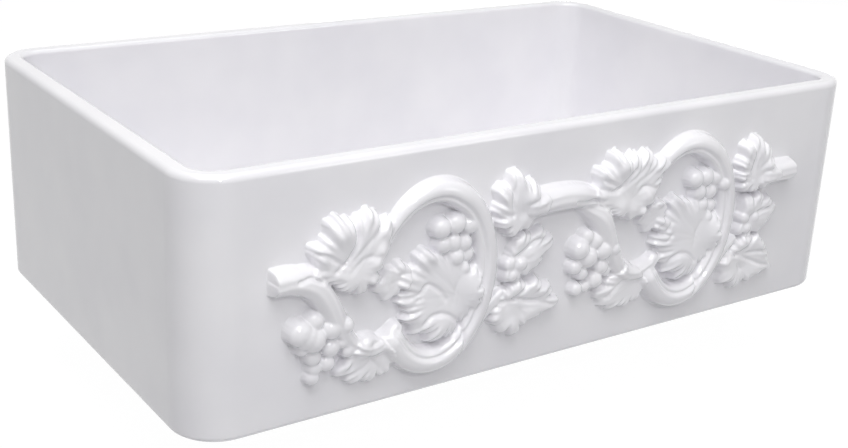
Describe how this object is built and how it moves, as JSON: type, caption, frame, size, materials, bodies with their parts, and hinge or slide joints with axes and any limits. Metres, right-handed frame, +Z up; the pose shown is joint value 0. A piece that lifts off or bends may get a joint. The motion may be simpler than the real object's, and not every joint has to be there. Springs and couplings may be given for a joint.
{
  "type": "farmhouse apron front sink",
  "caption": "Deep glazed fireclay apron-front kitchen sink with rounded corners, a raised grapevine scroll along the apron and a lift-out basket strainer.",
  "frame": {"origin": "middle of the flat underside, where the cabinet's rails carry the sink", "axes": "+X along the apron to the right as seen from the front, +Y from the apron to the back, +Z up"},
  "size_m": [0.838, 0.5335, 0.3639],
  "materials": {
    "glaze": "gloss white glaze",
    "stainless_steel": "polished",
    "rubber": "matt",
    "fibre": "matt",
    "zinc": "cast, dull plated",
    "nylon": "moulded",
    "plated_brass": "polished plate"
  },
  "bodies": {
    "sink": {"basin": "glaze", "grapes_left_low": "glaze", "grapes_left_inner": "glaze", "grapes_left_outer": "glaze", "grapes_right_low": "glaze", "grapes_right_inner": "glaze", "grapes_right_outer": "glaze", "leaf_left_top": "glaze", "leaf_left_inner": "glaze", "leaf_left_fold": "glaze", "leaf_left_foot": "glaze", "leaf_left_outer_top": "glaze", "leaf_left_outer_middle": "glaze", "leaf_left_outer_foot": "glaze", "leaf_right_top": "glaze", "leaf_right_inner": "glaze", "leaf_right_fold": "glaze", "leaf_right_foot": "glaze", "leaf_right_outer_top": "glaze", "leaf_right_outer_middle": "glaze", "leaf_right_outer_foot": "glaze", "branch_left": "glaze", "branch_middle": "glaze", "branch_fork": "glaze", "stub_right": "glaze", "twig_left": "glaze", "twig_right": "glaze", "scroll_left": "glaze", "scroll_right": "glaze", "strainer_body": "stainless_steel", "cross_bar": "stainless_steel", "sealing_gasket": "rubber", "friction_ring": "fibre", "locknut": "zinc", "tailpiece_washer": "nylon", "tailpiece": "plated_brass", "coupling_nut": "zinc"},
    "basket": {"basket_cup": "stainless_steel", "basket_stopper": "rubber", "basket_post": "stainless_steel", "basket_knob": "stainless_steel", "basket_nut": "stainless_steel", "spring_clip": "stainless_steel"}
  },
  "joints": [
    {"name": "basket_lift", "type": "slide", "parent": "sink", "child": "basket", "axis": [0, 0, 1], "range_m": [0, 0.08]}
  ]
}
